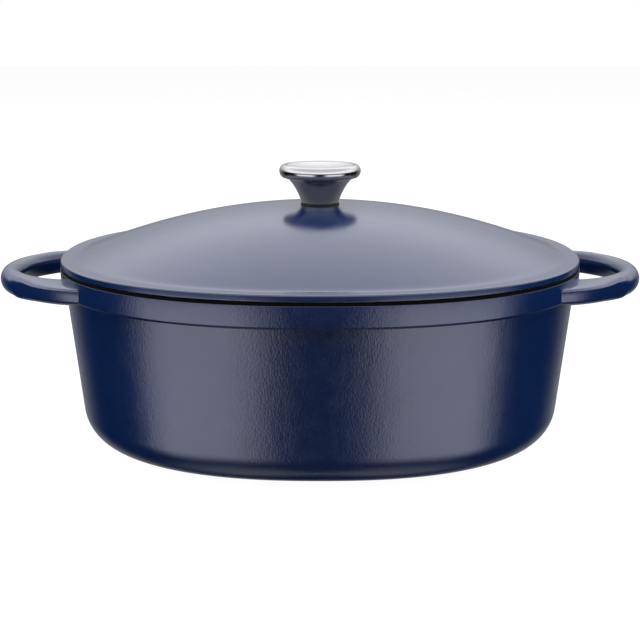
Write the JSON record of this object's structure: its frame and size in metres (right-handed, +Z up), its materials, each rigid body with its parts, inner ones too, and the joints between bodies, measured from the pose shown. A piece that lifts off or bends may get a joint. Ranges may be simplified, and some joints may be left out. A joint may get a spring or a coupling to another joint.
{
  "type": "oval dutch oven",
  "caption": "Oval enamelled cast iron cooking pot with cast loop handles and a domed lift-off lid carrying a trumpet-shaped steel knob.",
  "frame": {"origin": "middle of the flat base, on the plane that the pot stands on", "axes": "+X along the long axis of the oval from handle to handle, +Y across it, +Z up through the knob"},
  "size_m": [0.4124, 0.26, 0.175],
  "materials": {
    "blue_enamel": "satin blue vitreous enamel over cast iron, black enamel on the rim, pale enamel inside",
    "knob_steel": "polished stainless steel",
    "brushed_steel": "finely spun stainless steel",
    "plain_steel": "plain stainless steel",
    "black_rubber": "matte black silicone"
  },
  "bodies": {
    "pot": {"pot": "blue_enamel"},
    "lid": {"lid": "blue_enamel", "knob_shell": "knob_steel", "knob_cap": "brushed_steel", "knob_bush": "plain_steel", "knob_gasket": "black_rubber", "flat_washer": "plain_steel", "lock_washer": "plain_steel", "knob_screw": "plain_steel"}
  },
  "joints": [
    {"name": "lid_lift", "type": "slide", "parent": "pot", "child": "lid", "axis": [0, 0, 1], "range_m": [0, 0.15]}
  ]
}
